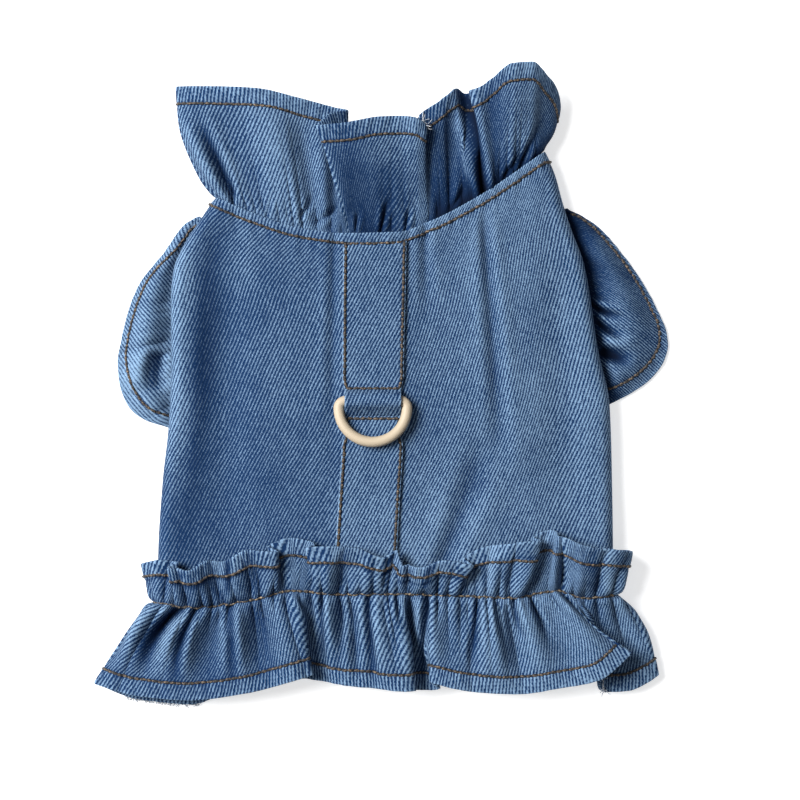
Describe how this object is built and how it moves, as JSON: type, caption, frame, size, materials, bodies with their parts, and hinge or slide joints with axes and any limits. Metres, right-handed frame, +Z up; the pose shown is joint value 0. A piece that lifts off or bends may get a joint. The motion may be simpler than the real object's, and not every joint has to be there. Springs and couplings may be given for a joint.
{
  "type": "dog dress",
  "caption": "Denim dress for a small dog, laid flat with its back up: gathered collar, flutter sleeves, ruffled hem, and a strap down the back that holds a leash ring.",
  "frame": {"origin": "on the floor under the middle of the dress as it lies", "axes": "+Z up out of the back of the dress, +Y from the hem towards the collar, +X to the right as seen from above with the collar away from the viewer"},
  "size_m": [0.2314, 0.2572, 0.0232],
  "materials": {
    "denim": "washed blue denim, matt, with a diagonal twill",
    "cream_enamel": "cream enamel, satin"
  },
  "bodies": {
    "dress": {"back_panel": "denim", "belly_panel": "denim", "collar_ruffle": "denim", "hem_ruffle": "denim", "sleeve_left": "denim", "sleeve_right": "denim", "leash_strap": "denim"},
    "ring": {"d_ring": "cream_enamel"}
  },
  "joints": [
    {"name": "ring_hinge", "type": "hinge", "parent": "dress", "child": "ring", "pos_m": [-0.00362, -0.00603, 0.01547], "axis": [-1, 0, 0], "range_deg": [0, 158]}
  ]
}
